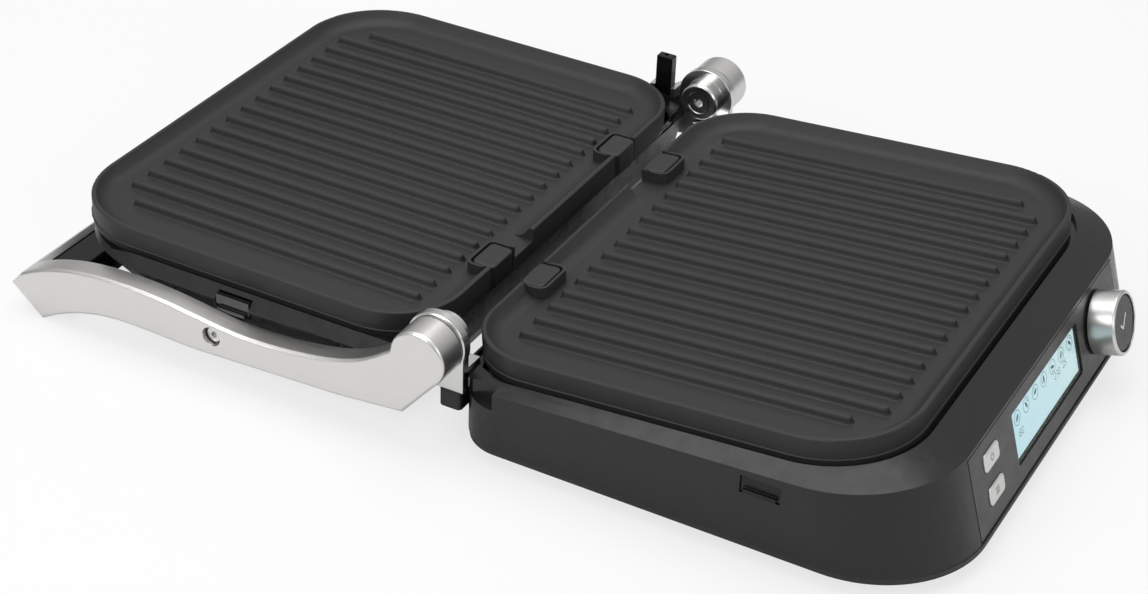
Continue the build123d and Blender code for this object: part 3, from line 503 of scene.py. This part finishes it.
RIB_COUNT, RIB_PITCH = 17, 14.3 * MM
RIB_END_INSET, RIB_END_STEPS = 2.7 * MM, 8
OUTER_RIB_CUT = 12.5 * MM    # the two outer ribs are shorter, on the plate's front side
RIB_PROFILE = [(3.5, -3.62), (3.0, -3.35), (2.62, -2.7), (2.3, -1.6), (2.05, -0.8), (1.8, -0.3),
               (1.4, 0.02), (0.75, 0.1)]


def rib_mesh():
    """One rib with a flared foot, a rounded crest and round ends, about its own middle."""
    shape = bmesh.new()
    reach = RIB_LENGTH / 2 - RIB_END_INSET
    rings = []
    for half_width, height in in_mm(RIB_PROFILE):
        ring = []
        for end, begin in ((1, 0), (-1, math.pi)):
            for step in range(RIB_END_STEPS + 1):
                angle = begin + math.pi * step / RIB_END_STEPS
                ring.append(shape.verts.new((half_width * math.cos(angle),
                                             end * reach + half_width * math.sin(angle), height)))
        rings.append(ring)
    skin(shape, rings, open_start=True)
    return to_mesh("rib", shape)


def rib_row_tree():
    """Row of ribs about the plate's middle, with the first and last rib scaled and shifted."""
    tree, given = new_tree("rib_row", {
        "Count": WHOLE, "Pitch": REAL, "End Scale": REAL, "End Shift": REAL})
    last = number(tree, "SUBTRACT", given["Count"], 1)
    width = number(tree, "MULTIPLY", last, given["Pitch"])
    row = point_row(tree, **{
        "Count": given["Count"], "Offset": vector(tree, X=given["Pitch"]),
        "Start Location": vector(tree, X=number(tree, "MULTIPLY", width, -0.5))})
    index = point_index(tree)
    is_first = number(tree, "LESS_THAN", index, 0.5)
    is_last = number(tree, "GREATER_THAN", index, number(tree, "SUBTRACT", last, 0.5))
    outer = number(tree, "MAXIMUM", is_first, is_last)
    shift = number(tree, "MULTIPLY", outer, given["End Shift"])
    moved = add_node(tree, "GeometryNodeSetPosition", {
        "Geometry": row, "Offset": vector(tree, Y=shift)})
    length = remap(tree, outer, 0, 1, 1.0, given["End Scale"])
    ribs = on_points(tree, moved.outputs["Geometry"], given["Geometry"],
                     Scale=vector(tree, X=1, Y=length, Z=1))
    return finish_tree(tree, ribs, coating)


rib_row = rib_row_tree()
rib_values = {"Count": RIB_COUNT, "Pitch": RIB_PITCH, "End Scale": 1 - OUTER_RIB_CUT / RIB_LENGTH,
              "End Shift": OUTER_RIB_CUT / 2}
for side, place in (("lower", lower_plate), ("upper", upper_plate)):
    ribs = grown(side + "_plate_ribs", rib_mesh(), rib_row, rib_values, coating,
                 side + "_plate", place, SHARP_CAST)


# Bead that runs round each plate's skirt

PLATE_HALF_WIDTH, PLATE_FRONT, PLATE_BACK = 145.0 * MM, 111.8 * MM, 115.0 * MM
PLATE_FRONT_RADIUS, PLATE_BACK_RADIUS = 48.0 * MM, 38.0 * MM
BEAD_RADIUS, BEAD_SIDES, BEAD_UP = 0.7 * MM, 8, -7.6 * MM


def skirt_path():
    """Plate outline from one hinge corner round the front to the other, as an edge chain."""
    shape = bmesh.new()
    front_x, front_y = PLATE_HALF_WIDTH - PLATE_FRONT_RADIUS, PLATE_FRONT_RADIUS - PLATE_FRONT
    back_x, back_y = PLATE_HALF_WIDTH - PLATE_BACK_RADIUS, PLATE_BACK - PLATE_BACK_RADIUS
    before = None
    for x, y, radius, begin, stop, steps in (
            (back_x, back_y, PLATE_BACK_RADIUS, 45, 0, 6),
            (front_x, front_y, PLATE_FRONT_RADIUS, 0, -90, 10),
            (-front_x, front_y, PLATE_FRONT_RADIUS, -90, -180, 10),
            (-back_x, back_y, PLATE_BACK_RADIUS, -180, -225, 6)):
        for i in range(steps + 1):
            angle = math.radians(begin + (stop - begin) * i / steps)
            point = shape.verts.new((x + radius * math.cos(angle), y + radius * math.sin(angle), 0))
            if before:
                shape.edges.new((before, point))
            before = point
    return to_mesh("skirt_path", shape)


def bead_tree():
    """Tube along an edge chain."""
    tree, given = new_tree("bead", {"Radius": REAL, "Sides": WHOLE})
    path = add_node(tree, "GeometryNodeMeshToCurve", {"Mesh": given["Geometry"]})
    section = add_node(tree, "GeometryNodeCurvePrimitiveCircle", {
        "Radius": given["Radius"], "Resolution": given["Sides"]})
    tube = add_node(tree, "GeometryNodeCurveToMesh", {
        "Curve": path.outputs["Curve"], "Profile Curve": section.outputs["Curve"],
        "Fill Caps": True})
    return finish_tree(tree, tube.outputs["Mesh"], coating)


bead = bead_tree()
bead_values = {"Radius": BEAD_RADIUS, "Sides": BEAD_SIDES}
for side, place in (("lower", lower_plate), ("upper", upper_plate)):
    ring = grown(side + "_plate_bead", skirt_path(), bead, bead_values, coating,
                 side + "_plate", place @ Matrix.Translation((0, 0, BEAD_UP)), SHARP_CAST)


# Marks on the display

DISPLAY_X, DISPLAY_UP, DISPLAY_FACE = -1.0 * MM, 27.8 * MM, -2.42 * MM
DISPLAY_WIDTH, DISPLAY_HEIGHT, MASK_EDGE = 93.5 * MM, 28.5 * MM, 2.0 * MM
MARK_LEVELS, MASK_LEVELS = (0, 0.03 * MM), (0, 0.02 * MM)
MARK_COUNT, MARK_SPACING, MARK_TURN = 7, 12.6 * MM, 1.3
FIRST_MARK_X, FIRST_MARK_UP = -37.5 * MM, 7.4 * MM
DIGIT_HEIGHT = 3.6 * MM
DIGIT_WIDTH, DIGIT_STEP, DIGIT_PEN = 0.52, 0.8, 0.11    # times the height
SEGMENT_GAP = 0.6                                       # times the pen
SEGMENTS = {"0": "abcdef", "1": "bc", "2": "abdeg", "3": "abcdg", "5": "acdfg", "8": "abcdefg"}


def ring_mark():
    shape = bmesh.new()
    flat_ring(shape, (0, 0), 4.0 * MM, 3.65 * MM, MARK_LEVELS)
    return to_mesh("ring_mark", shape)


def food_mark():
    """Plain leaf-like shape with a short stroke beside it."""
    shape = bmesh.new()
    flat_plate(shape, in_mm([(-1.9, -1.7), (-0.3, -1.5), (1.2, 0.1), (1.6, 1.7), (0.3, 1.3),
                             (-1.0, 0.2)]), MARK_LEVELS)
    flat_ring(shape, (0.6 * MM, -0.6 * MM), 1.9 * MM, 1.5 * MM, MARK_LEVELS, -70, 80, 8)
    return to_mesh("food_mark", shape)


def mark_row_tree(mat):
    """Row of marks, each turned further than the one before it."""
    tree, given = new_tree("mark_row", {"Count": WHOLE, "Spacing": REAL, "Turn": REAL})
    row = point_row(tree, Count=given["Count"], Offset=vector(tree, X=given["Spacing"]))
    turn = number(tree, "MULTIPLY", point_index(tree), given["Turn"])
    marks = on_points(tree, row, given["Geometry"], Rotation=vector(tree, Z=turn))
    return finish_tree(tree, marks, mat)


def digit(shape, mark, x, y):
    """Seven-segment digit with its lower left corner at x, y."""
    width, pen, half = DIGIT_HEIGHT * DIGIT_WIDTH, DIGIT_HEIGHT * DIGIT_PEN, DIGIT_HEIGHT / 2
    gap = pen * SEGMENT_GAP
    starts = {"a": (0, DIGIT_HEIGHT, True), "g": (0, half, True), "d": (0, 0, True),
              "f": (0, half, False), "e": (0, 0, False), "b": (width, half, False),
              "c": (width, 0, False)}
    for name in SEGMENTS[mark]:
        across, up, level = starts[name]
        run = width if level else half
        outline = [(gap, 0), (gap + pen / 2, pen / 2), (run - gap - pen / 2, pen / 2),
                   (run - gap, 0), (run - gap - pen / 2, -pen / 2), (gap + pen / 2, -pen / 2)]
        flat_plate(shape, [(x + across + u, y + up + v) if level else (x + across - v, y + up + u)
                           for u, v in outline], MARK_LEVELS)


display = panel @ Matrix.Translation((DISPLAY_X, DISPLAY_UP, DISPLAY_FACE))
mark_place = display @ Matrix.Translation((FIRST_MARK_X, FIRST_MARK_UP, 0))
mark_values = {"Count": MARK_COUNT, "Spacing": MARK_SPACING, "Turn": MARK_TURN}
for name, seed, ink in (("display_rings", ring_mark(), ink_faint),
                        ("display_food_marks", food_mark(), ink_dark)):
    marks = grown(name, seed, mark_row_tree(ink), mark_values, ink, "base", mark_place)

digits = bmesh.new()
for text, start_x, start_y in (("180", -40 * MM, -3.4 * MM), ("230", 14 * MM, -0.8 * MM),
                               ("05", 26 * MM, -0.8 * MM)):
    for i, mark in enumerate(text):
        digit(digits, mark, start_x + i * DIGIT_HEIGHT * DIGIT_STEP, start_y)
mesh_piece("display_digits", digits, ink_dark, "base", display)

mask = bmesh.new()
outer_x, outer_y = DISPLAY_WIDTH / 2, DISPLAY_HEIGHT / 2
inner_x, inner_y = outer_x - MASK_EDGE, outer_y - MASK_EDGE
for corners in ((-outer_x, inner_y, outer_x, outer_y), (-outer_x, -outer_y, outer_x, -inner_y),
                (-outer_x, -inner_y, -inner_x, inner_y), (inner_x, -inner_y, outer_x, inner_y)):
    bar(mask, corners, MASK_LEVELS)
mesh_piece("display_mask", mask, trim_black, "base", display)


# Symbols on the keys and on the knob

KEY_X, POWER_UP, MODE_UP, KEY_FACE = -78.0 * MM, 37.3 * MM, 19.2 * MM, 0.9 * MM
OK_FACE = KNOB_LENGTH - 0.8 * MM
SYMBOL_LEVELS = (-0.05 * MM, 0.04 * MM)
MODE_BARS, MODE_BAR_PITCH = 3, 1.45 * MM

power = bmesh.new()
flat_ring(power, (0, 0), 1.9 * MM, 1.5 * MM, SYMBOL_LEVELS, 120, 300, 24)
bar(power, (-0.22 * MM, 0.5 * MM, 0.22 * MM, 2.4 * MM), SYMBOL_LEVELS)
mesh_piece("power_symbol", power, ink_grey, "power_button",
                   panel @ Matrix.Translation((KEY_X, POWER_UP, KEY_FACE)))

bars = bmesh.new()
for i in range(MODE_BARS):
    raised = i * MODE_BAR_PITCH
    bar(bars, (-2.1 * MM, -1.7 * MM + raised, 2.1 * MM, -1.2 * MM + raised), SYMBOL_LEVELS)
mesh_piece("mode_symbol", bars, ink_grey, "mode_button",
                   panel @ Matrix.Translation((KEY_X, MODE_UP, KEY_FACE)))

tick = bmesh.new()
flat_plate(tick, in_mm([(-4.8, 0.2), (-4.0, 1.0), (-1.4, -1.6), (4.2, 4.3), (5.0, 3.5),
                        (-1.4, -3.2)]), SYMBOL_LEVELS)
mesh_piece("tick_symbol", tick, ink_pale, "ok_button",
                   panel @ Matrix.Translation((KNOB_X, KNOB_UP, OK_FACE)))


# Polished edge of the lid's sheet, in front of the upper plate's skirt

SHEET_LEFT, SHEET_RIGHT = -118.0 * MM, 126.0 * MM
SHEET_END, SHEET_END_SHRINK = 0.6 * MM, 0.15 * MM
SHEET_PROFILE = [(13.4, 45.9), (13.4, 45.3), (11.8, 45.3), (11.2, 45.6), (11.0, 46.1),
                 (11.2, 46.6), (11.6, 46.4), (11.9, 45.9)]    # y from the hinge axis, z


def sheet_edge():
    shape = bmesh.new()
    skin(shape, [[shape.verts.new((x, hinge.y + y + shrink, z - shrink))
                  for y, z in in_mm(SHEET_PROFILE)]
                 for x, shrink in ((SHEET_LEFT, SHEET_END_SHRINK), (SHEET_LEFT + SHEET_END, 0),
                                   (SHEET_RIGHT - SHEET_END, 0),
                                   (SHEET_RIGHT, SHEET_END_SHRINK))])
    return shape


mesh_piece("lid_sheet_edge", sheet_edge(), edge_steel, "lid", Matrix.Identity(4))


# Rings moulded into the soles of the feet

SOLE_RINGS, SOLE_RING_STEP, SOLE_RING_HOLE = 3, 2.9 * MM, 0.86    # the hole of a ring of radius 1
SOLE_RING_HEIGHT, SOLE_RING_Z = 0.4 * MM, -0.3 * MM
FOOT_PLACES = ((-126, -46), (126, -46), (-112, -222), (112, -222))    # y from the hinge axis


def sole_ring():
    shape = bmesh.new()
    flat_ring(shape, (0, 0), 1.0, SOLE_RING_HOLE, (0, SOLE_RING_HEIGHT), steps=32)
    return to_mesh("sole_ring", shape)


def nested_rings_tree():
    """Rings round one another, each a step wider than the one inside it."""
    tree, given = new_tree("nested_rings", {"Rings": WHOLE, "Step": REAL})
    row = point_row(tree, Count=given["Rings"], Offset=(0, 0, 0))
    size = number(tree, "MULTIPLY", number(tree, "ADD", point_index(tree), 1), given["Step"])
    rings = on_points(tree, row, given["Geometry"], Scale=vector(tree, X=size, Y=size, Z=1))
    return finish_tree(tree, rings, foot_rubber)


nested_rings = nested_rings_tree()
sole_values = {"Rings": SOLE_RINGS, "Step": SOLE_RING_STEP}
for i, (x, y) in enumerate(in_mm(FOOT_PLACES)):
    sole = grown(f"sole_rings_{i + 1}", sole_ring(), nested_rings, sole_values, foot_rubber,
                 "base", Matrix.Translation((x, hinge.y + y, SOLE_RING_Z)))


# Camera and lights

CAMERA_TURN = (56.939, -2.026, -61.241)    # degrees

camera_data = bpy.data.cameras.new("camera")
camera_data.sensor_width = 36.0
camera_data.lens = 76.6
camera = new_object("camera", camera_data)
camera.location = (-0.9886, hinge.y - 0.5094, 0.7232)
camera.rotation_euler = [math.radians(angle) for angle in CAMERA_TURN]
bpy.context.scene.camera = camera


def softbox(name, place, aim, size, power):
    data = bpy.data.lights.new(name, "AREA")
    data.shape = "RECTANGLE"
    data.size, data.size_y = size
    data.energy = power
    lamp = new_object(name, data)
    lamp.location = place
    lamp.rotation_euler = (Vector(aim) - Vector(place)).to_track_quat("-Z", "Y").to_euler()


softbox("overhead_softbox", (0.1, 0.15, 1.5), (0, 0, 0), size=(1.6, 1.2), power=12)
softbox("side_softbox", (-1.5, 0.5, 0.9), (0, 0.05, 0), size=(1.0, 0.8), power=8)
softbox("front_softbox", (-0.7, -1.5, 0.8), (0, 0, 0), size=(1.0, 0.8), power=5)


# Surroundings: white where they are seen, darker where they only light the object

WHITE = (1, 1, 1, 1)
AMBIENT = 0.42
REFLECTED_LOW, REFLECTED_HIGH = 0.28, 0.95
FLOOR_SIZE, FLOOR_GREY, FLOOR_ROUGHNESS, FLOOR_GLOW = 6.0, 0.93, 0.9, 0.72


def ray_is(tree, kind):
    return tree.nodes.new("ShaderNodeLightPath").outputs[f"Is {kind} Ray"]


def seen_directly(tree):
    """1 for rays from the camera and through a window."""
    return number(tree, "MAXIMUM", ray_is(tree, "Camera"), ray_is(tree, "Transmission"))


def mixed(tree, factor, first, second):
    return add_node(tree, "ShaderNodeMixShader", {
        "Fac": factor, 1: first, 2: second}).outputs["Shader"]


def backdrop(tree, strength):
    return add_node(tree, "ShaderNodeBackground", {
        "Color": WHITE, "Strength": strength}).outputs["Background"]


world = bpy.data.worlds.new("studio")
bpy.context.scene.world = world
world.use_nodes = True
sky = world.node_tree
direction = add_node(sky, "ShaderNodeSeparateXYZ", {
    "Vector": sky.nodes.new("ShaderNodeTexCoord").outputs["Generated"]})
reflected = remap(sky, direction.outputs["Z"], 0.1, 0.95, REFLECTED_LOW, REFLECTED_HIGH)
lighting = mixed(sky, ray_is(sky, "Glossy"), backdrop(sky, AMBIENT), backdrop(sky, reflected))
feed(sky, sky.nodes["World Output"], {
    "Surface": mixed(sky, seen_directly(sky), lighting, backdrop(sky, 1.0))})

floor_white, paint, floor_bsdf = new_material("floor_white")
feed(paint, floor_bsdf, {"Base Color": (FLOOR_GREY, FLOOR_GREY, FLOOR_GREY, 1),
                         "Roughness": FLOOR_ROUGHNESS})
paper = add_node(paint, "ShaderNodeEmission", {"Color": WHITE})
glow = remap(paint, seen_directly(paint), 0, 1, 0, FLOOR_GLOW)
feed(paint, paint.nodes["Material Output"], {
    "Surface": mixed(paint, glow, floor_bsdf.outputs["BSDF"], paper.outputs["Emission"])})
floor_shape = bmesh.new()
bmesh.ops.create_grid(floor_shape, x_segments=1, y_segments=1, size=FLOOR_SIZE)
floor = new_object("floor", to_mesh("floor", floor_shape))
give(floor, floor_white)

bpy.context.scene.view_settings.view_transform = "Standard"
